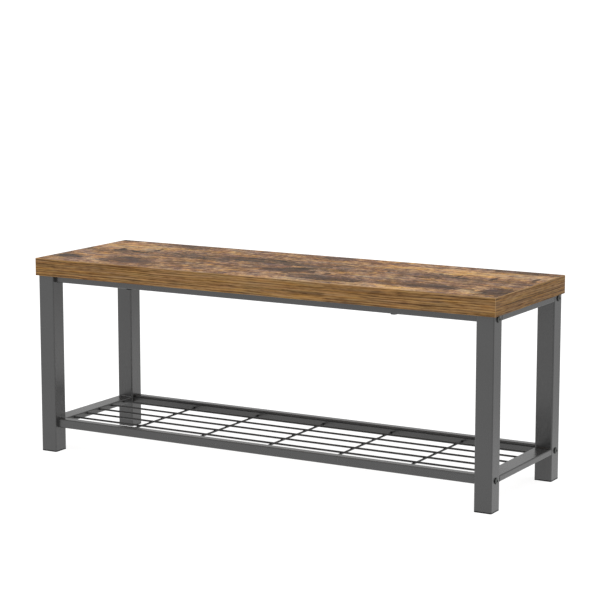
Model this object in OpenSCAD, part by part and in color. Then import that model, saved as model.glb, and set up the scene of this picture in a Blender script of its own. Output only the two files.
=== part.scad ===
// Entryway bench with a thick laminated seat, a bolted steel tube frame and a wire shoe shelf.
// Units are millimetres. X runs along the bench, Y from front to back, Z up.
// The origin is on the floor, under the centre of the seat.

/* [Seat] */
// Length of the seat, along X
seat_l = 1150; // [900:10:1400]
// Depth of the seat, along Y
seat_d = 360; // [300:5:420]
// Thickness of the seat
seat_t = 40; // [25:1:50]
// Height of the seat's top above the floor
seat_h = 450; // [400:5:500]
// Thickness of the edge banding
band_t = 1; // [0.5:0.5:2]
// Thickness of the laminate on the two large faces
laminate_t = 0.8; // [0.4:0.1:1.2]

/* [Legs and end rails] */
// Side of the square leg tube
leg_w = 40; // [36:1:50]
// Outer corner radius of the leg tube
leg_r = 3; // [2:0.5:5]
// Wall of the leg tube
leg_wall = 1.5; // [1:0.1:1.9]
// Distance from the seat's edge to the outer face of a leg
leg_inset = 5; // [2:1:20]
// Height of the flat tube that joins two legs
end_rail_h = 13.5; // [12:0.5:20]
// Thickness of a foot cap below the leg tube
cap_t = 2.5; // [1.5:0.5:6]

/* [Long rails] */
// Width of the long rails, front to back
rail_w = 20; // [18:1:25]
// Height of the rails under the seat
upper_rail_h = 15; // [13:1:25]
// Height of the rails beside the shelf
shelf_rail_h = 20; // [18:1:30]
// Outer corner radius of all rails
rail_r = 2.5; // [1.5:0.5:3]
// Wall of all rails
rail_wall = 1.2; // [0.8:0.1:1.4]

/* [Wire shelf] */
// Height of the shelf's middle plane above the floor
shelf_z = 66.5; // [50:0.5:120]
// Diameter of the shelf wires
wire_d = 4.5; // [3:0.5:5]
// Distance between two neighbouring long wires
long_pitch = 50; // [40:1:58]
// Depth of the ledge along the inner face of each shelf rail
ledge_w = 6; // [4:1:10]

/* [Fasteners] */
// Diameter of the button heads on the legs
bolt_head_d = 14; // [10:0.5:15]
// Height of the button heads on the legs
bolt_head_h = 4.5; // [2:0.5:4.5]
// Diameter of the flat heads under the seat
screw_head_d = 14; // [12:0.5:16]
// Height of the flat heads under the seat
screw_head_h = 2; // [1.5:0.5:3]
// Distance from the middle of the bench to a seat screw
screw_x = 333; // [200:1:360]

/* [Hidden] */
$fn = 48;
// Small overrun that lets a cut pass right through a wall
cut = 1;
// Gap round a part that sits in a tube or on a thread
fit_gap = 0.1;

// Legs
leg_top = seat_h - seat_t;
leg_x = seat_l / 2 - leg_inset - leg_w / 2;
leg_y = seat_d / 2 - leg_inset - leg_w / 2;
inner_x = leg_x - leg_w / 2;
outer_x = leg_x + leg_w / 2;
inner_y = leg_y - leg_w / 2;
leg_bore = leg_w - 2 * leg_wall;

// Foot caps: the plug stands clear of the tube, and its ribs nearly touch it
cap_insert_h = 18;
cap_rib_h = 2;
cap_rib_gap = 0.6;
cap_hollow_w = leg_bore - 6;

// Rails
upper_rail_z = leg_top - upper_rail_h / 2;
upper_end_z = leg_top - end_rail_h / 2;
bay_y = leg_y - rail_w / 2;
plug_l = 20;

// Wires: the long wires lie on the cross wires, which stand in equal bays
wires = 5;
cross_pitch = 2 * inner_x / (wires + 1);
wire_middle = (wires + 1) / 2;
wire_hole_d = wire_d + 1.5;
wire_end = 6;

// Ledges: from the underside of a shelf rail to just above the long wires
ledge_under = shelf_rail_h / 2;
ledge_over = wire_d + 0.5;

// Fasteners
thread_d = 6;
bolt_hole_d = 6.6;
bolt_l = leg_w + 15;
socket_af = 4;
socket_depth = 1.8;
insert_d = 10;
insert_l = 13;
screw_l = upper_rail_h + insert_l - 1;

// Colours
wood_top = "#8b6339";
wood_edge = "#9a7242";
chipboard = "#c2a679";
steel_grey = "#5d5f61";
cap_black = "#1c1c1d";
zinc = "#b9bcc0";

// ---- Shared shapes ----

// Rectangle with four rounded corners, centred on the origin
module rounded_rect(w, h, r) {
    square([w - 2 * r, h], center = true);
    square([w, h - 2 * r], center = true);
    for (x = [-1, 1], y = [-1, 1])
        translate([x * (w / 2 - r), y * (h / 2 - r)])
            circle(r);
}

// Section of a rectangular tube
module tube_section(w, h, r, wall) {
    difference() {
        rounded_rect(w, h, r);
        rounded_rect(w - 2 * wall, h - 2 * wall, r - wall);
    }
}

// Turns a section so that it is extruded along X, with its own X along Y
module along_x(length) {
    rotate([90, 0, 90])
        linear_extrude(height = length, center = true)
            children();
}

// Turns a section so that it is extruded along Y, with its own X along X
module along_y(length) {
    rotate([90, 0, 0])
        linear_extrude(height = length, center = true)
            children();
}

// Cylinder along X, centred
module rod_x(d, length) {
    rotate([0, 90, 0])
        cylinder(d = d, h = length, center = true);
}

// Cylinder along Y, centred
module rod_y(d, length) {
    rotate([90, 0, 0])
        cylinder(d = d, h = length, center = true);
}

// Hexagon socket that opens at the origin and runs down
module hex_socket() {
    translate([0, 0, -socket_depth])
        cylinder(d = socket_af / cos(30), h = socket_depth + cut, $fn = 6);
}

// ---- Seat ----

// Particle board core, with a blind hole for each insert nut
module seat_board() {
    color(chipboard)
        difference() {
            translate([0, 0, leg_top + seat_t / 2])
                cube([seat_l - 2 * band_t, seat_d - 2 * band_t, seat_t - 2 * laminate_t], center = true);
            insert_holes(insert_l + 1);
        }
}

// Blind holes for the insert nuts, from the seat's underside to the given depth
module insert_holes(depth) {
    for (x = [-screw_x, screw_x], y = [-leg_y, leg_y])
        translate([x, y, leg_top - cut])
            cylinder(d = insert_d, h = depth + cut);
}

// Laminate sheet with its lower face at the given height
module laminate(z) {
    translate([0, 0, z + laminate_t / 2])
        cube([seat_l - 2 * band_t, seat_d - 2 * band_t, laminate_t], center = true);
}

module seat_top_laminate() {
    color(wood_top)
        laminate(seat_h - laminate_t);
}

module seat_bottom_laminate() {
    color(wood_top)
        difference() {
            laminate(leg_top);
            insert_holes(laminate_t + cut);
        }
}

// Long edge band, which covers the ends of the short bands
module long_band(side) {
    color(wood_edge)
        translate([0, side * (seat_d - band_t) / 2, leg_top + seat_t / 2])
            cube([seat_l, band_t, seat_t], center = true);
}

// Short edge band, between the two long bands
module short_band(side) {
    color(wood_edge)
        translate([side * (seat_l - band_t) / 2, 0, leg_top + seat_t / 2])
            cube([band_t, seat_d - 2 * band_t, seat_t], center = true);
}

// ---- End frames ----

// Leg tube with two bolt holes right through it, along X
module leg(side_x, side_y) {
    color(steel_grey)
        translate([side_x * leg_x, side_y * leg_y, 0])
            difference() {
                translate([0, 0, cap_t])
                    linear_extrude(height = leg_top - cap_t)
                        tube_section(leg_w, leg_w, leg_r, leg_wall);
                for (z = [shelf_z, upper_rail_z])
                    translate([0, 0, z])
                        rod_x(bolt_hole_d, leg_w + 2 * cut);
            }
}

// Flat tube between two legs
module end_rail() {
    along_y(2 * inner_y)
        tube_section(leg_w, end_rail_h, rail_r, rail_wall);
}

module upper_end_rail(side) {
    color(steel_grey)
        translate([side * leg_x, 0, upper_end_z])
            end_rail();
}

// Lower end rail, with a row of holes in its inner wall for the long wires
module lower_end_rail(side) {
    color(steel_grey)
        translate([side * leg_x, 0, shelf_z])
            difference() {
                end_rail();
                for (i = [1 : wires])
                    translate([-side * leg_w / 2, (i - wire_middle) * long_pitch, wire_d / 2])
                        rod_x(wire_hole_d, 2 * (rail_wall + cut));
            }
}

// One storey of the hollow plug inside a foot cap
module cap_storey(outer_w, h) {
    linear_extrude(height = h)
        difference() {
            rounded_rect(outer_w, outer_w, leg_r - leg_wall);
            square(cap_hollow_w, center = true);
        }
}

// Plastic cap: a flange under the tube, and a hollow ribbed plug inside it
module foot_cap(side_x, side_y) {
    color(cap_black)
        translate([side_x * leg_x, side_y * leg_y, 0]) {
            linear_extrude(height = cap_t)
                rounded_rect(leg_w, leg_w, leg_r);
            translate([0, 0, cap_t])
                cap_storey(leg_bore - 2 * cap_rib_gap, cap_insert_h);
            for (z = [cap_insert_h / 3, cap_insert_h * 2 / 3])
                translate([0, 0, cap_t + z])
                    cap_storey(leg_bore - 2 * fit_gap, cap_rib_h);
        }
}

// ---- Long rails ----

// Rail under the seat, with an upright hole for each seat screw
module upper_rail(side) {
    color(steel_grey)
        translate([0, side * leg_y, upper_rail_z])
            difference() {
                along_x(2 * inner_x)
                    tube_section(rail_w, upper_rail_h, rail_r, rail_wall);
                for (x = [-screw_x, screw_x])
                    translate([x, 0, 0])
                        cylinder(d = bolt_hole_d, h = upper_rail_h + 2 * cut, center = true);
            }
}

// Rail beside the shelf
module shelf_rail(side) {
    color(steel_grey)
        translate([0, side * leg_y, shelf_z])
            along_x(2 * inner_x)
                tube_section(rail_w, shelf_rail_h, rail_r, rail_wall);
}

// Flat bar on the inner face of a shelf rail, with a row of holes for the cross wires
module shelf_ledge(side) {
    color(steel_grey)
        translate([0, side * (bay_y - ledge_w / 2), shelf_z])
            difference() {
                translate([0, 0, (ledge_over - ledge_under) / 2])
                    cube([2 * inner_x, ledge_w, ledge_over + ledge_under], center = true);
                for (i = [1 : wires])
                    translate([(i - wire_middle) * cross_pitch, 0, -wire_d / 2])
                        rod_y(wire_hole_d, ledge_w + 2 * cut);
            }
}

// Threaded plugs in the four ends of two rails of the given height
module rail_plugs(rail_h, z) {
    color(cap_black)
        for (x = [-1, 1], y = [-1, 1])
            translate([x * (inner_x - plug_l / 2), y * leg_y, z])
                difference() {
                    along_x(plug_l)
                        rounded_rect(
                            rail_w - 2 * (rail_wall + fit_gap),
                            rail_h - 2 * (rail_wall + fit_gap),
                            rail_r - rail_wall
                        );
                    rod_x(thread_d + 2 * fit_gap, plug_l + 2 * cut);
                }
}

module upper_rail_plugs() {
    rail_plugs(upper_rail_h, upper_rail_z);
}

module shelf_rail_plugs() {
    rail_plugs(shelf_rail_h, shelf_z);
}

// ---- Wire shelf ----

// One of the wires that run along the bench, counted from the front
module shelf_wire(i) {
    color(steel_grey)
        translate([0, (i - wire_middle) * long_pitch, shelf_z + wire_d / 2])
            rod_x(wire_d, 2 * (inner_x + wire_end));
}

// One of the wires that run from front to back, counted from the left.
// It passes through both ledges and ends against the rails.
module cross_wire(i) {
    color(steel_grey)
        translate([(i - wire_middle) * cross_pitch, 0, shelf_z - wire_d / 2])
            rod_y(wire_d, 2 * bay_y);
}

// ---- Fasteners ----

// Button-head bolt that points down from the origin, with its head above
module button_bolt() {
    rim_h = 0.6;
    dome_h = bolt_head_h - rim_h;
    dome_r = (pow(bolt_head_d / 2, 2) + pow(dome_h, 2)) / (2 * dome_h);
    difference() {
        union() {
            intersection() {
                cylinder(d = bolt_head_d, h = bolt_head_h);
                translate([0, 0, bolt_head_h - dome_r])
                    sphere(dome_r);
            }
            translate([0, 0, -bolt_l])
                cylinder(d = thread_d, h = bolt_l + rim_h);
        }
        translate([0, 0, bolt_head_h])
            hex_socket();
    }
}

// Four bolts at each end, from the outer face of the legs into the rail plugs
module frame_bolts() {
    color(cap_black)
        for (x = [-1, 1], y = [-1, 1], z = [shelf_z, upper_rail_z])
            translate([x * outer_x, y * leg_y, z])
                rotate([0, x * 90, 0])
                    button_bolt();
}

// Flat-head screw that points up from the origin, with its head below
module flat_screw() {
    difference() {
        union() {
            translate([0, 0, -screw_head_h])
                cylinder(d = screw_head_d, h = screw_head_h);
            cylinder(d = thread_d, h = screw_l);
        }
        mirror([0, 0, 1])
            translate([0, 0, screw_head_h])
                hex_socket();
    }
}

// Screws that hold the seat, up through the rails into the insert nuts
module seat_screws() {
    color(cap_black)
        for (x = [-screw_x, screw_x], y = [-leg_y, leg_y])
            translate([x, y, leg_top - upper_rail_h])
                flat_screw();
}

// Threaded sleeves in the seat board
module seat_insert_nuts() {
    color(zinc)
        for (x = [-screw_x, screw_x], y = [-leg_y, leg_y])
            translate([x, y, leg_top])
                difference() {
                    cylinder(d = insert_d - 2 * fit_gap, h = insert_l);
                    translate([0, 0, -cut])
                        cylinder(d = thread_d + 2 * fit_gap, h = insert_l + 2 * cut);
                }
}

// ---- Nodes ----

seat_board();
seat_top_laminate();
seat_bottom_laminate();
long_band(-1);  // edge_band_front
long_band(1);  // edge_band_back
short_band(-1);  // edge_band_left
short_band(1);  // edge_band_right
leg(-1, -1);  // leg_front_left
leg(1, -1);  // leg_front_right
leg(-1, 1);  // leg_back_left
leg(1, 1);  // leg_back_right
upper_end_rail(-1);  // upper_end_rail_left
upper_end_rail(1);  // upper_end_rail_right
lower_end_rail(-1);  // lower_end_rail_left
lower_end_rail(1);  // lower_end_rail_right
upper_rail(-1);  // upper_rail_front
upper_rail(1);  // upper_rail_back
shelf_rail(-1);  // shelf_rail_front
shelf_rail(1);  // shelf_rail_back
shelf_ledge(-1);  // shelf_ledge_front
shelf_ledge(1);  // shelf_ledge_back
shelf_wire(1);  // shelf_wire_1
shelf_wire(2);  // shelf_wire_2
shelf_wire(3);  // shelf_wire_3
shelf_wire(4);  // shelf_wire_4
shelf_wire(5);  // shelf_wire_5
cross_wire(1);  // cross_wire_1
cross_wire(2);  // cross_wire_2
cross_wire(3);  // cross_wire_3
cross_wire(4);  // cross_wire_4
cross_wire(5);  // cross_wire_5
foot_cap(-1, -1);  // foot_cap_front_left
foot_cap(1, -1);  // foot_cap_front_right
foot_cap(-1, 1);  // foot_cap_back_left
foot_cap(1, 1);  // foot_cap_back_right
upper_rail_plugs();
shelf_rail_plugs();
frame_bolts();
seat_screws();
seat_insert_nuts();
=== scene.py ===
"""Looks of the entryway bench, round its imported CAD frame.

Metres, Z up. X runs along the bench and -Y is its front. The laminate sheets, the edge bands and the welds
are pieces made here. Everything else is the CAD's own mesh with a new finish, and the foot caps and the
fasteners get softened edges.
"""
import math
import random

import bmesh
import bpy
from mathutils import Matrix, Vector


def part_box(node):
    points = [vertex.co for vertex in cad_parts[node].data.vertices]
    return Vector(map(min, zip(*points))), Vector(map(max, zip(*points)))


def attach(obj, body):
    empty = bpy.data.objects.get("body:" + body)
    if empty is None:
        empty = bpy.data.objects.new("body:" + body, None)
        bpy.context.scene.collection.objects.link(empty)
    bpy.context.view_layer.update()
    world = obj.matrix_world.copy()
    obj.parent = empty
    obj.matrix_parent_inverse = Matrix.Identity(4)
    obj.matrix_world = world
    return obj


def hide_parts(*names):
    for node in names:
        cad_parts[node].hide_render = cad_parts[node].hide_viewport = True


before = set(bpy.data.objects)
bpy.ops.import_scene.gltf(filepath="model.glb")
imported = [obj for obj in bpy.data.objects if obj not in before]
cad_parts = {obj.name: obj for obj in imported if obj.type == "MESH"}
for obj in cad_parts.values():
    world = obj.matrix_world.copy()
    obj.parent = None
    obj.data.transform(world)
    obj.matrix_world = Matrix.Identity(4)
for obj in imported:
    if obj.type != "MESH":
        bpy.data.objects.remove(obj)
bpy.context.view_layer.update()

MM = 0.001
WIRES = range(1, 6)
ENDS = ("left", "right")
SIDES = ("front", "back")
LEGS = [f"{side}_{end}" for side in SIDES for end in ENDS]

# ---- Camera, light and floor ----

CAMERA_PLACE = (2.2789, -3.9304, 1.1136)
CAMERA_TURN = math.radians(29.906)
CAMERA_DIP = math.radians(9.247)
CAMERA_LENS = 124.14
WORLD_LIGHT = 0.75
SUN_FROM = (0.15, -0.25, 1)
SUN_POWER = 1.5
SUN_SPREAD = math.radians(70)
FLOOR_SIZE = 240

# The floor's glow falls from near to far as the dot product with this direction rises from start to end
GLOW_ALONG = (1, 0.4, 0)
GLOW_START, GLOW_END = 0.5, 1.4
GLOW_NEAR, GLOW_FAR = 0.88, 0.46


def add_camera():
    data = bpy.data.cameras.new("camera")
    data.sensor_width = 36
    data.lens = CAMERA_LENS
    data.clip_end = 400
    camera = bpy.data.objects.new("camera", data)
    camera.location = CAMERA_PLACE
    camera.rotation_euler = (math.pi / 2 - CAMERA_DIP, 0, CAMERA_TURN)
    bpy.context.collection.objects.link(camera)
    bpy.context.scene.camera = camera


def add_studio():
    """Even light from all round, and a sun from above that is as soft as a large softbox."""
    world = bpy.data.worlds.new("studio")
    world.use_nodes = True
    background = world.node_tree.nodes["Background"]
    background.inputs["Color"].default_value = (1, 1, 1, 1)
    background.inputs["Strength"].default_value = WORLD_LIGHT
    bpy.context.scene.world = world
    data = bpy.data.lights.new("overhead", "SUN")
    data.energy = SUN_POWER
    data.angle = SUN_SPREAD
    lamp = bpy.data.objects.new("overhead", data)
    lamp.rotation_euler = Vector(SUN_FROM).to_track_quat("Z", "Y").to_euler()
    bpy.context.collection.objects.link(lamp)
    bpy.context.scene.view_settings.view_transform = "Standard"


def add_floor():
    mesh = bpy.data.meshes.new("floor")
    half = FLOOR_SIZE / 2
    corners = [(-half, -half, 0), (half, -half, 0), (half, half, 0), (-half, half, 0)]
    mesh.from_pydata(corners, [], [(0, 1, 2, 3)])
    floor = bpy.data.objects.new("floor", mesh)
    bpy.context.collection.objects.link(floor)
    mesh.materials.append(pale_floor())


# ---- Material nodes ----


class Finish:
    """A material with one Principled shader, and one short call for each kind of node that feeds it."""

    def __init__(self, name):
        self.material = bpy.data.materials.new(name)
        self.material.use_nodes = True
        self.tree = self.material.node_tree
        self.tree.nodes.clear()
        self.shader = self.add("ShaderNodeBsdfPrincipled")
        self.plug(self.add("ShaderNodeOutputMaterial").inputs["Surface"], self.shader.outputs[0])
        self.place = self.add("ShaderNodeTexCoord").outputs["Object"]

    def add(self, kind, **settings):
        node = self.tree.nodes.new(kind)
        for key, value in settings.items():
            setattr(node, key, value)
        return node

    def plug(self, socket, value):
        if isinstance(value, bpy.types.NodeSocket):
            self.tree.links.new(value, socket)
        else:
            socket.default_value = value

    def set(self, **values):
        """Sets sockets of the shader, where an underscore stands for a space."""
        for key, value in values.items():
            self.plug(self.shader.inputs[key.replace("_", " ")], value)
        return self.material

    def math(self, operation, *values, clamp=False):
        node = self.add("ShaderNodeMath", operation=operation, use_clamp=clamp)
        for socket, value in zip(node.inputs, values):
            self.plug(socket, value)
        return node.outputs[0]

    def vector(self, operation, *values, out=0):
        node = self.add("ShaderNodeVectorMath", operation=operation)
        for socket, value in zip(node.inputs, values):
            self.plug(socket, value)
        return node.outputs[out]

    def stretched(self, place, scale, offset=(0, 0, 0)):
        return self.vector("MULTIPLY_ADD", place, scale, offset)

    def noise(self, place, scale, offset=(0, 0, 0), detail=2, roughness=0.5, distortion=0):
        """Noise from 0 to 1 with cells of 1 / scale metres along each axis."""
        node = self.add("ShaderNodeTexNoise")
        self.plug(node.inputs["Vector"], self.stretched(place, scale, offset))
        node.inputs["Scale"].default_value = 1
        node.inputs["Detail"].default_value = detail
        node.inputs["Roughness"].default_value = roughness
        node.inputs["Distortion"].default_value = distortion
        return node.outputs[0]

    def noises(self, place, table, offset=(0, 0, 0)):
        """Noises by name, from a table of the scale, detail, roughness and distortion of each."""
        return {key: self.noise(place, scale, offset, *shape) for key, (scale, *shape) in table.items()}

    def about(self, value, amount):
        """A value from 0 to 1, moved to be centred on 0 and scaled."""
        return self.math("MULTIPLY_ADD", value, amount, -amount / 2)

    def total(self, *values):
        result = values[0]
        for value in values[1:]:
            result = self.math("ADD", result, value)
        return result

    def weighed(self, layers, weights, middle=0.0):
        """Sum of the layers, each centred on 0 and scaled by its weight, about the middle value."""
        return self.total(*(self.about(layers[key], weight) for key, weight in weights.items()), middle)

    def smooth_step(self, value, low, high, to_low=0.0, to_high=1.0):
        node = self.add("ShaderNodeMapRange", interpolation_type="SMOOTHSTEP")
        ends = {"From Min": low, "From Max": high, "To Min": to_low, "To Max": to_high}
        for key, number in {"Value": value, **ends}.items():
            self.plug(node.inputs[key], number)
        return node.outputs[0]

    def ramp(self, value, stops):
        node = self.add("ShaderNodeValToRGB")
        band = node.color_ramp
        while len(band.elements) < len(stops):
            band.elements.new(0.5)
        for element, (position, colour) in zip(band.elements, stops):
            element.position = position
            element.color = (*colour, 1)
        self.plug(node.inputs[0], value)
        return node.outputs[0]

    def mix(self, factor, a, b, blend="MIX"):
        node = self.add("ShaderNodeMix", data_type="RGBA", blend_type=blend)
        sockets = [s for s in node.inputs if s.enabled]
        for socket, value in zip(sockets, (factor, a, b)):
            is_colour = isinstance(value, tuple)
            self.plug(socket, (*value, 1) if is_colour else value)
        return next(s for s in node.outputs if s.enabled)

    def bump(self, height, depth, normal=None):
        """Bump of the given depth in metres, for a height from 0 to 1."""
        node = self.add("ShaderNodeBump")
        node.inputs["Strength"].default_value = 1
        node.inputs["Distance"].default_value = depth
        self.plug(node.inputs["Height"], height)
        if normal is not None:
            self.plug(node.inputs["Normal"], normal)
        return node.outputs[0]

    def spots(self, place, patches):
        """Highest value of some soft ellipses (x, y, half length, half width, strength): the strength in the
        middle, 0 on the rim and less outside."""
        result = None
        for x, y, a, b, strength in patches:
            local = self.stretched(place, (1 / a, 1 / b, 0), (-x / a, -y / b, 0))
            distance = self.vector("LENGTH", local, out="Value")
            level = self.math("MULTIPLY_ADD", distance, -strength, strength)
            result = level if result is None else self.math("MAXIMUM", result, level)
        return result

    def from_axes(self, axes):
        """Distance to the nearest of some axes along X, each given as (y, z) and mirrored front to back."""
        folded = self.vector("ABSOLUTE", self.place)
        result = None
        for y, z in axes:
            distance = self.vector("LENGTH", self.stretched(folded, (0, 1, 1), (0, -y, -z)), out="Value")
            result = distance if result is None else self.math("MINIMUM", result, distance)
        return result

    def painted_arris_highlight(self, high):
        """Strength of a painted highlight, a lighter colour, on the upper and upright arrises of a box that
        is centred on the Z axis.
        """
        node = self.add("ShaderNodeSeparateXYZ")
        self.plug(node.inputs[0], self.vector("ABSOLUTE", self.place))
        from_sides = [self.math("SUBTRACT", reach, node.outputs[axis]) for reach, axis in zip(high, "XYZ")]
        from_edge = self.math("MINIMUM", self.math("MAXIMUM", *from_sides[:2]), from_sides[2])
        return self.smooth_step(from_edge, *ARRIS_HIGHLIGHT_REACH, ARRIS_HIGHLIGHT_STRENGTH, 0.0)

    def tint(self, colour, place, scale, warmth, blueness):
        """The colour, drifting from place to place between warm and cool, with one more drift of its blue."""
        warm = self.about(self.noise(place, scale, (3, 8, 0), detail=3, roughness=0.65), warmth)
        cool = self.about(self.noise(place, scale, (9, 4, 0), detail=3, roughness=0.65), blueness)
        factors = self.add("ShaderNodeCombineXYZ")
        self.plug(factors.inputs["X"], self.math("MULTIPLY_ADD", warm, 0.5, 1))
        factors.inputs["Y"].default_value = 1
        self.plug(factors.inputs["Z"], self.math("MULTIPLY_ADD", warm, -1, self.math("ADD", cool, 1)))
        return self.mix(1.0, colour, factors.outputs[0], "MULTIPLY")


# ---- Wood finishes ----

# Smoky patches and bright stretches of the seat's top: x, y, half length, half width and strength
TOP_SMOKE = [
    (-0.130, 0.032, 0.270, 0.044, 0.55),
    (-0.470, 0.018, 0.100, 0.026, 0.5),
    (0.395, 0.026, 0.200, 0.030, 0.5),
    (-0.380, -0.100, 0.080, 0.050, 1.9),
    (-0.530, -0.112, 0.050, 0.028, 0.9),
    (0.004, -0.054, 0.075, 0.030, 1.6),
    (0.150, -0.112, 0.100, 0.038, 1.0),
    (0.375, -0.100, 0.120, 0.036, 1.0),
    (0.548, -0.112, 0.046, 0.056, 1.5),
    (-0.375, 0.155, 0.085, 0.034, 0.8),
    (0.020, 0.156, 0.055, 0.026, 0.5),
    (0.470, 0.162, 0.120, 0.028, 0.8),
    (-0.555, 0.174, 0.030, 0.018, 0.9),
]
TOP_GOLD = [
    (-0.470, 0.090, 0.100, 0.062, 1.0),
    (0.400, 0.100, 0.200, 0.052, 1.0),
    (-0.445, -0.116, 0.040, 0.044, 0.4),
    (0.270, -0.156, 0.210, 0.026, 1.0),
    (0.494, -0.112, 0.028, 0.052, 0.9),
]
TOP_TICKS = [
    (-0.490, 0.049, 0.007, 0.024, 1.5),
    (-0.402, 0.068, 0.007, 0.024, 1.5),
    (0.386, 0.046, 0.006, 0.022, 1.5),
    (0.467, 0.046, 0.007, 0.024, 1.5),
    (0.552, 0.078, 0.008, 0.020, 1.5),
    (0.079, -0.051, 0.007, 0.018, 1.5),
    (0.121, -0.058, 0.008, 0.012, 1.5),
]
LAMINATE_TONES = [
    (0.10, (0.112, 0.061, 0.038)),
    (0.38, (0.222, 0.124, 0.074)),
    (0.62, (0.366, 0.214, 0.111)),
    (0.92, (0.550, 0.342, 0.160)),
]
SMOKE_TONES = ((0.042, 0.030, 0.025), (0.042, 0.024, 0.016))
TICK_TONE = (0.048, 0.029, 0.023)

# Noises of the laminate by name: scale, detail, roughness and distortion
LAMINATE_NOISES = {
    "blotch": ((11, 42, 1), 3, 0.6),
    "chip": ((26, 62, 1), 2, 0.55, 0.8),
    "streak": ((9, 120, 1), 3, 0.6),
    "nick": ((75, 60, 1), 2, 0.6),
    "fleck": ((90, 150, 1), 2, 0.6),
    "finger": ((30, 520, 1), 2),
    "fibre": ((45, 1500, 1), 2),
    "pore": ((60, 1300, 1), 1),
}
# How far each layer moves the tone of the wood, the outline of the smoke and the depth of the smoke
TONE_WEIGHTS = {
    "gold": 0.36, "blotch": 0.5, "chip": 1.1, "streak": 1.4, "nick": 1.2, "fleck": 1.2, "finger": 0.9
}
TONE_MIDDLE = 0.60
OUTLINE_WEIGHTS = {"blotch": 1.8, "chip": 3.0, "streak": 2.2, "nick": 0.9}
DEPTH_WEIGHTS = {"nick": 1.1, "streak": 1.4}
DEPTH_MIDDLE = 0.78

# The same for the edge bands, where the grain is in layers one above the other
BAND_NOISES = {
    "wander": ((2.5, 1, 26), 1),
    "streak": ((2.5, 1, 300), 2, 0.6),
    "dash": ((7, 1, 380), 2, 0.6),
    "fleck": ((36, 1, 380), 2, 0.6),
    "fibre": ((40, 1, 1500), 2),
    "pore": ((30, 1, 900), 1),
}
BAND_WEIGHTS = {"layer": 0.36, "streak": 1.4, "dash": 2.0, "fleck": 1.3, "fibre": 0.8}
BAND_MIDDLE = 0.53
LAYER_PITCH = 4.8 * MM
# Painted highlight on the upper and upright arrises of the bands: its colour, its reach from the edge and its
# strength
ARRIS_HIGHLIGHT_TONE = (0.42, 0.27, 0.14)
ARRIS_HIGHLIGHT_REACH = (0.5 * MM, 1.5 * MM)
ARRIS_HIGHLIGHT_STRENGTH = 0.5
BAND_PORE_TONE = (0.07, 0.036, 0.016)
BAND_TONES = [
    (0.05, (0.070, 0.034, 0.012)),
    (0.32, (0.150, 0.076, 0.027)),
    (0.55, (0.215, 0.115, 0.041)),
    (0.90, (0.310, 0.178, 0.070)),
]


def laminate(name, offset, smoke_spots=(), gold_spots=(), ticks=()):
    """Smoked rustic wood decor with its grain along X, on a lightly embossed laminate sheet. The offset
    moves the noises, and where no spots are given, noise also places the smoke and the gold."""
    m = Finish(name)
    shift = m.add("ShaderNodeCombineXYZ")
    m.plug(shift.inputs["Y"], m.about(m.noise(m.place, (2.4, 7, 1), offset), 0.030))
    place = m.vector("ADD", m.place, shift.outputs[0])
    layers = m.noises(place, LAMINATE_NOISES, offset)
    if gold_spots:
        layers["gold"] = m.smooth_step(m.spots(place, gold_spots), -0.6, 0.8)
    else:
        layers["gold"] = m.noise(place, (3, 12, 1), offset)
    wood = m.ramp(m.weighed(layers, TONE_WEIGHTS, TONE_MIDDLE), LAMINATE_TONES)

    if smoke_spots:
        field = m.spots(place, smoke_spots)
    else:
        field = m.about(m.noise(place, (4, 14, 1), offset), 5.5)
    field = m.math("ADD", field, m.weighed(layers, OUTLINE_WEIGHTS))
    depth = m.weighed(layers, DEPTH_WEIGHTS, DEPTH_MIDDLE)
    smoke = m.math("MULTIPLY", m.smooth_step(field, 0.18, 0.38), depth, clamp=True)
    along = m.vector("DOT_PRODUCT", m.place, (1, 0, 0), out="Value")
    smoke_tone = m.mix(m.smooth_step(along, -0.2, 0.3), *SMOKE_TONES)
    colour = m.tint(m.mix(smoke, wood, smoke_tone), place, (18, 44, 1), 1.7, 1.1)
    if ticks:
        notch = m.math("ADD", m.spots(m.place, ticks), m.about(layers["finger"], 0.8))
        colour = m.mix(m.smooth_step(notch, 0.0, 0.5, 0.0, 0.9), colour, TICK_TONE)
    shade = m.math("MULTIPLY_ADD", layers["fibre"], 0.50, 0.75)
    colour = m.mix(1.0, colour, shade, "MULTIPLY")

    pores = m.smooth_step(layers["pore"], 0.56, 0.70)
    height = m.total(
        m.math("MULTIPLY", layers["streak"], 0.5),
        m.math("MULTIPLY", layers["fibre"], 0.3),
        m.math("MULTIPLY", pores, -0.6),
    )
    gloss = m.total(
        m.math("MULTIPLY", pores, 0.10),
        m.about(layers["blotch"], 0.12),
        m.math("MULTIPLY", smoke, -0.04),
        0.56,
    )
    bump = m.bump(height, 0.06 * MM)
    return m.set(Base_Color=colour, Roughness=gloss, Specular_IOR_Level=0.04, Normal=bump)


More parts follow.
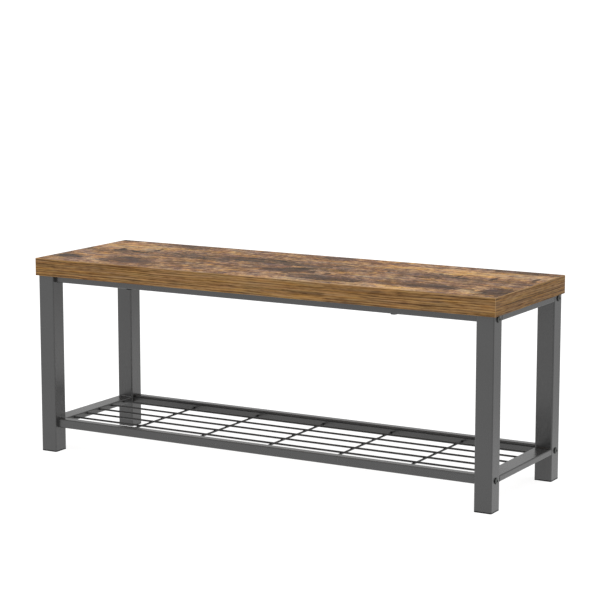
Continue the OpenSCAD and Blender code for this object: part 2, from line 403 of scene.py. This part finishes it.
def edge_band(name, high):
    """Straight-grained band, with its grain along whichever edge it is on, and a painted highlight, a lighter
    colour, on the upper and upright arrises of the seat, whose highest corner is high."""
    m = Finish(name)
    parts = m.add("ShaderNodeSeparateXYZ")
    m.plug(parts.inputs[0], m.place)
    along = m.math("ADD", parts.outputs["X"], parts.outputs["Y"])
    run = m.add("ShaderNodeCombineXYZ")
    m.plug(run.inputs["X"], along)
    m.plug(run.inputs["Z"], parts.outputs["Z"])
    sway = m.noise(run.outputs[0], (4, 1, 20))
    shift = m.add("ShaderNodeCombineXYZ")
    m.plug(shift.inputs["Z"], m.about(sway, 0.006))
    place = m.vector("ADD", run.outputs[0], shift.outputs[0])
    layers = m.noises(place, BAND_NOISES)
    level = m.vector("DOT_PRODUCT", place, (0, 0, 1 / LAYER_PITCH), out="Value")
    turns = m.math("MULTIPLY_ADD", layers["wander"], 3, level)
    wave = m.math("SINE", m.math("MULTIPLY", turns, 2 * math.pi))
    layers["layer"] = m.math("MULTIPLY_ADD", wave, 0.5, 0.5)
    tone = m.weighed(layers, BAND_WEIGHTS, BAND_MIDDLE)
    colour = m.tint(m.ramp(tone, BAND_TONES), place, (9, 1, 200), 1.2, 1.1)
    # Painted highlight: a lighter colour along the upper and upright arrises
    colour = m.mix(m.painted_arris_highlight(high), colour, ARRIS_HIGHLIGHT_TONE)
    pores = m.smooth_step(layers["pore"], 0.60, 0.74)
    colour = m.mix(m.math("MULTIPLY", pores, 0.45), colour, BAND_PORE_TONE)
    height = m.total(layers["streak"], m.math("MULTIPLY", pores, -0.7))
    gloss = m.total(m.math("MULTIPLY", pores, 0.12), m.about(layers["layer"], 0.10), 0.52)
    bump = m.bump(height, 0.05 * MM)
    return m.set(Base_Color=colour, Roughness=gloss, Specular_IOR_Level=0.10, Normal=bump)


def particle_board(name):
    m = Finish(name)
    chips = m.add("ShaderNodeTexVoronoi")
    m.plug(chips.inputs["Vector"], m.stretched(m.place, (260, 260, 620)))
    chips.inputs["Scale"].default_value = 1
    dust = m.noise(m.place, (900, 900, 900))
    tone = m.math("MULTIPLY_ADD", dust, 0.4, m.math("MULTIPLY", chips.outputs["Distance"], 0.6))
    colour = m.ramp(tone, [(0.1, (0.24, 0.14, 0.07)), (0.5, (0.48, 0.34, 0.19)), (0.9, (0.62, 0.48, 0.30))])
    return m.set(Base_Color=colour, Roughness=0.85, Normal=m.bump(tone, 0.3 * MM))


# ---- Metal and plastic finishes ----


def powder_coat(name, dark, light, shine):
    """Grey powder coat: fine orange peel, a slow drift of gloss, and a few faint rubs. Its grey is from dark
    to light, and shine is the strength of its reflection."""
    m = Finish(name)
    peel = m.noise(m.place, (700, 700, 700), detail=2)
    grit = m.noise(m.place, (2600, 2600, 2600), detail=1)
    drift = m.noise(m.place, (9, 9, 9), detail=3)
    rub = m.smooth_step(m.noise(m.place, (60, 60, 14), detail=4, roughness=0.7), 0.60, 0.78)
    tone = m.total(drift, m.about(grit, 0.5))
    colour = m.ramp(tone, [(0.2, (dark, dark, dark)), (0.8, (light, light, light))])
    gloss = m.total(m.about(drift, 0.12), m.about(grit, 0.08), m.math("MULTIPLY", rub, 0.07), 0.27)
    height = m.math("MULTIPLY_ADD", grit, 0.25, peel)
    bump = m.bump(height, 0.02 * MM)
    return m.set(Base_Color=colour, Roughness=gloss, Specular_IOR_Level=shine, Normal=bump)


def moulded_plastic(name):
    m = Finish(name)
    grain = m.noise(m.place, (1600, 1600, 1600), detail=2)
    scuff = m.smooth_step(m.noise(m.place, (90, 90, 300), detail=3), 0.55, 0.75)
    colour = m.mix(m.math("MULTIPLY", scuff, 0.5), (0.003, 0.003, 0.003), (0.010, 0.010, 0.010))
    gloss = m.math("MULTIPLY_ADD", scuff, 0.15, 0.5)
    bump = m.bump(grain, 0.04 * MM)
    return m.set(Base_Color=colour, Roughness=gloss, Specular_IOR_Level=0.12, Normal=bump)


# Distances from a fastener's axis: across the rim of the socket, and across the outer edge of the crown.
# Between them the crown gets a painted highlight, a grey ring, in the tone below
SOCKET_RIM = (2.0 * MM, 2.6 * MM)
CROWN_RIM = (5.4 * MM, 6.6 * MM)
CROWN_HIGHLIGHT_TONE = (0.090, 0.094, 0.090)


def black_steel(name, axes=()):
    """Black oxide on steel, with a painted highlight, a grey ring, on the crowns of heads round the given
    axes.
    """
    m = Finish(name)
    painted_crown_highlight = 0.0
    if axes:
        distance = m.from_axes(axes)
        outside_socket = m.smooth_step(distance, *SOCKET_RIM)
        # Grey ring on the crown between the socket and the outer edge: painted highlight
        painted_crown_highlight = m.math("MULTIPLY", outside_socket, m.smooth_step(distance, *CROWN_RIM, 1.0, 0.0))
    cloud = m.noise(m.place, (420, 420, 420), detail=3)
    grain = m.noise(m.place, (3000, 3000, 3000), detail=2)
    tone = m.total(cloud, m.about(grain, 0.4))
    oxide = m.ramp(tone, [(0.25, (0.002, 0.002, 0.002)), (0.8, (0.007, 0.007, 0.007))])
    colour = m.mix(painted_crown_highlight, oxide, CROWN_HIGHLIGHT_TONE)
    gloss = m.math("MULTIPLY_ADD", cloud, 0.25, 0.35)
    bump = m.bump(grain, 0.02 * MM)
    return m.set(Base_Color=colour, Roughness=gloss, Specular_IOR_Level=0.12, Normal=bump)


def zinc_plate(name):
    m = Finish(name)
    spangle = m.noise(m.place, (500, 500, 500), detail=3)
    colour = m.ramp(spangle, [(0.3, (0.50, 0.51, 0.52)), (0.7, (0.66, 0.67, 0.69))])
    gloss = m.math("MULTIPLY_ADD", spangle, 0.3, 0.2)
    return m.set(Base_Color=colour, Metallic=1.0, Roughness=gloss, Normal=m.bump(spangle, 0.03 * MM))


def pale_floor():
    """Floor with a white glow, which is weaker to the right of the bench, where the studio is darker."""
    m = Finish("pale_floor")
    cloud = m.noise(m.place, (0.8, 0.8, 0.8))
    colour = m.ramp(cloud, [(0.3, (0.26, 0.26, 0.26)), (0.7, (0.28, 0.28, 0.28))])
    right = m.vector("DOT_PRODUCT", m.place, GLOW_ALONG, out="Value")
    m.set(Base_Color=colour, Roughness=0.9, Specular_IOR_Level=0.0, Emission_Color=(1, 1, 1, 1))
    return m.set(Emission_Strength=m.smooth_step(right, GLOW_START, GLOW_END, GLOW_NEAR, GLOW_FAR))


# ---- Meshes ----


def smooth(made):
    """Smooth shading that leaves flat faces flat."""
    for polygon in made.data.polygons:
        polygon.use_smooth = True
    made.modifiers.new("weighted_normals", "WEIGHTED_NORMAL").keep_sharp = True


def piece(name, mesh_maker, finish, replaced=()):
    """Makes an object from a bmesh, with its finish, and puts it on the bench."""
    bm = bmesh.new()
    mesh_maker(bm)
    bmesh.ops.recalc_face_normals(bm, faces=bm.faces)
    mesh = bpy.data.meshes.new(name)
    bm.to_mesh(mesh)
    bm.free()
    mesh.materials.append(finish)
    made = bpy.data.objects.new(name, mesh)
    bpy.context.collection.objects.link(made)
    smooth(made)
    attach(made, "root")
    if replaced:
        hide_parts(*replaced)
    return made


def rounded_box(low, high, is_rounded, radius, segments=4):
    """Maker of a box whose edges are rounded where is_rounded(middle of the edge) says so."""

    def make(bm):
        bmesh.ops.create_cube(bm, size=1)
        size, middle = high - low, (high + low) / 2
        for vert in bm.verts:
            vert.co = Vector([vert.co[i] * size[i] + middle[i] for i in range(3)])
        edges = [e for e in bm.edges if is_rounded((e.verts[0].co + e.verts[1].co) / 2)]
        bmesh.ops.bevel(bm, geom=edges, offset=radius, segments=segments, profile=0.5, affect="EDGES")

    return make


# Rounding of the rims of the sheets and of the outer edges of the bands
HAIRLINE = 0.15 * MM
ARRIS = 0.8 * MM

# An edge that is nearer than this to a side of the seat is on that side
TOUCHING = 0.1 * MM


def add_seat(top_finish, bottom_finish, band_finish):
    """The two laminate sheets, with a hairline round their rims, and the four bands, with rounded outer
    edges."""
    for name, finish in (("seat_top_laminate", top_finish), ("seat_bottom_laminate", bottom_finish)):
        low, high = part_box(name)
        make = rounded_box(low, high, lambda edge: True, HAIRLINE, 1)
        piece(name.replace("seat_", "") + "_sheet", make, finish, [name])
    seat_low, seat_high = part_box("edge_band_front")[0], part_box("edge_band_back")[1]

    def on_outside(middle):
        """True for an edge where two outer faces of the seat meet."""
        faces = [abs(middle[i] - side[i]) < TOUCHING for i in range(3) for side in (seat_low, seat_high)]
        return sum(faces) == 2

    for side in ("front", "back", "left", "right"):
        node = "edge_band_" + side
        make = rounded_box(*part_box(node), on_outside, ARRIS)
        piece("banding_" + side, make, band_finish, [node])


BEAD_RADIUS = 1.8 * MM
BEAD_INSET = 2.5 * MM
BEAD_ROOT = 0.4 * MM
BEAD_RIPPLE = 2.2 * MM
BEAD_STEP = 0.6 * MM
BEAD_ARC = 6

# Shares of the bead's radius: at its two ends, in its ripples, in their unevenness, and in its hollow face
BEAD_END = 0.35
BEAD_SWELL = 0.07
BEAD_JITTER = 0.03
BEAD_HOLLOW = 0.28
SPOT_WELD_SIZE = (2.1 * MM, 2.1 * MM, 1.2 * MM)


def bead(bm, start, end, side_a, side_b, rng):
    """A weld bead from start to end in the corner between two faces, which lie towards side_a and side_b."""
    start, end = Vector(start), Vector(end)
    side_a, side_b = Vector(side_a), Vector(side_b)
    length = (end - start).length
    rings = max(8, round(length / BEAD_STEP))
    loops = []
    for i in range(rings + 1):
        along = i / rings
        grow = min(1, 4 * along, 4 * (1 - along)) ** 0.5
        ripple = BEAD_SWELL * math.cos(2 * math.pi * along * length / BEAD_RIPPLE)
        swell = 1 + ripple + rng.uniform(-BEAD_JITTER, BEAD_JITTER)
        r = BEAD_RADIUS * (BEAD_END + (1 - BEAD_END) * grow) * swell
        centre = start.lerp(end, along)
        corner = centre - BEAD_ROOT * (side_a + side_b)
        loop = [bm.verts.new(corner)]
        for k in range(BEAD_ARC + 1):
            angle = math.pi / 2 * k / BEAD_ARC
            reach = r * (1 - BEAD_HOLLOW * math.sin(2 * angle))
            loop.append(bm.verts.new(centre + reach * (math.cos(angle) * side_a + math.sin(angle) * side_b)))
        loops.append(loop)
    for one, two in zip(loops, loops[1:]):
        for k in range(len(one)):
            n = (k + 1) % len(one)
            bm.faces.new((one[k], one[n], two[n], two[k]))
    bm.faces.new(loops[0])
    bm.faces.new(reversed(loops[-1]))


def add_frame_welds(finish):
    """Beads where each end rail meets its legs: across the top or bottom and down the inner face.
    The outer face is ground flush."""
    rng = random.Random(4)

    def make(bm):
        for end, out in zip(ENDS, (-1, 1)):
            for level in ("upper", "lower"):
                low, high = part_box(f"{level}_end_rail_{end}")
                inner = low.x if out > 0 else high.x
                left, right = low.x + BEAD_INSET, high.x - BEAD_INSET
                bottom, top = low.z + BEAD_INSET, high.z - BEAD_INSET
                faces = [(low.z, -1)] if level == "upper" else [(low.z, -1), (high.z, 1)]
                for toward in (1, -1):
                    y = low.y if toward > 0 else high.y
                    for z, up in faces:
                        bead(bm, (left, y, z), (right, y, z), (0, toward, 0), (0, 0, up), rng)
                    bead(bm, (inner, y, bottom), (inner, y, top), (0, toward, 0), (-out, 0, 0), rng)

    piece("frame_welds", make, finish)


def nugget(bm, centre, size, rng):
    """A squashed, slightly lumpy spot weld."""
    made = bmesh.ops.create_icosphere(bm, subdivisions=3, radius=1)
    twist = rng.uniform(0, 6)
    for vert in made["verts"]:
        lump = 1 + 0.06 * math.sin(3 * vert.co.x + twist) * math.cos(4 * vert.co.y - twist)
        vert.co = Vector(centre) + Vector([vert.co[i] * size[i] * lump for i in range(3)])


def add_wire_welds(finish):
    """A spot weld at each crossing of two wires."""
    rng = random.Random(9)
    long_wires = [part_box(f"shelf_wire_{i}") for i in WIRES]
    cross_wires = [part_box(f"cross_wire_{i}") for i in WIRES]

    def make(bm):
        for long_low, long_high in long_wires:
            for cross_low, cross_high in cross_wires:
                centre = ((cross_low.x + cross_high.x) / 2, (long_low.y + long_high.y) / 2, long_low.z)
                nugget(bm, centre, SPOT_WELD_SIZE, rng)

    piece("wire_spot_welds", make, finish)


SOFT_EDGE = 0.25 * MM
SHARP_ANGLE = math.radians(50)
SAME_POINT = 0.002 * MM


def soften(node):
    """Rounds the sharp edges of a CAD node with modifiers, which leave its own points where they are."""
    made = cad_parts[node]
    normals = made.data.attributes.get("custom_normal")
    if normals:
        made.data.attributes.remove(normals)
    made.modifiers.new("weld", "WELD").merge_threshold = SAME_POINT
    bevel = made.modifiers.new("arris", "BEVEL")
    bevel.width = SOFT_EDGE
    bevel.segments = 2
    bevel.limit_method = "ANGLE"
    bevel.angle_limit = SHARP_ANGLE
    bevel.use_clamp_overlap = True
    smooth(made)


def paint(nodes, finish):
    for node in nodes:
        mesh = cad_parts[node].data
        mesh.materials.clear()
        mesh.materials.append(finish)


# ---- The bench ----

add_camera()
add_studio()
add_floor()

coat = powder_coat("powder_coat", 0.023, 0.032, 0.8)
# The wires get a darker, less shiny copy of the same powder coat: their darker grey is painted shade
wire_coat_painted_shade = powder_coat("wire_coat_painted_shade", 0.014, 0.020, 0.45)
plastic = moulded_plastic("black_plastic_grain")
bolt_axes = []
for rail in ("shelf_rail_back", "upper_rail_back"):
    middle = sum(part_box(rail), Vector()) / 2
    bolt_axes.append((middle.y, middle.z))

frame_tubes = ["leg_" + leg for leg in LEGS]
frame_tubes += [f"{level}_end_rail_{end}" for level in ("upper", "lower") for end in ENDS]
frame_tubes += [f"{kind}_{side}" for kind in ("upper_rail", "shelf_rail", "shelf_ledge") for side in SIDES]
shelf_wires = [f"{kind}_wire_{i}" for kind in ("shelf", "cross") for i in WIRES]
foot_caps = ["foot_cap_" + leg for leg in LEGS]

paint(frame_tubes, coat)
paint(shelf_wires, wire_coat_painted_shade)
paint(foot_caps + ["upper_rail_plugs", "shelf_rail_plugs"], plastic)
# The bolts' finish carries the painted highlight on their crowns
paint(["frame_bolts"], black_steel("black_oxide_painted_highlight", bolt_axes))
paint(["seat_screws"], black_steel("black_oxide"))
paint(["seat_insert_nuts"], zinc_plate("zinc_plate"))
paint(["seat_board"], particle_board("particle_board"))

add_seat(
    laminate("rustic_laminate_top", (0, 0, 0), TOP_SMOKE, TOP_GOLD, TOP_TICKS),
    laminate("rustic_laminate_bottom", (7.3, 2.1, 0)),
    edge_band("wood_edge_band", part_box("edge_band_back")[1]),
)
add_frame_welds(coat)
add_wire_welds(wire_coat_painted_shade)
for node in foot_caps + ["frame_bolts", "seat_screws"]:
    soften(node)
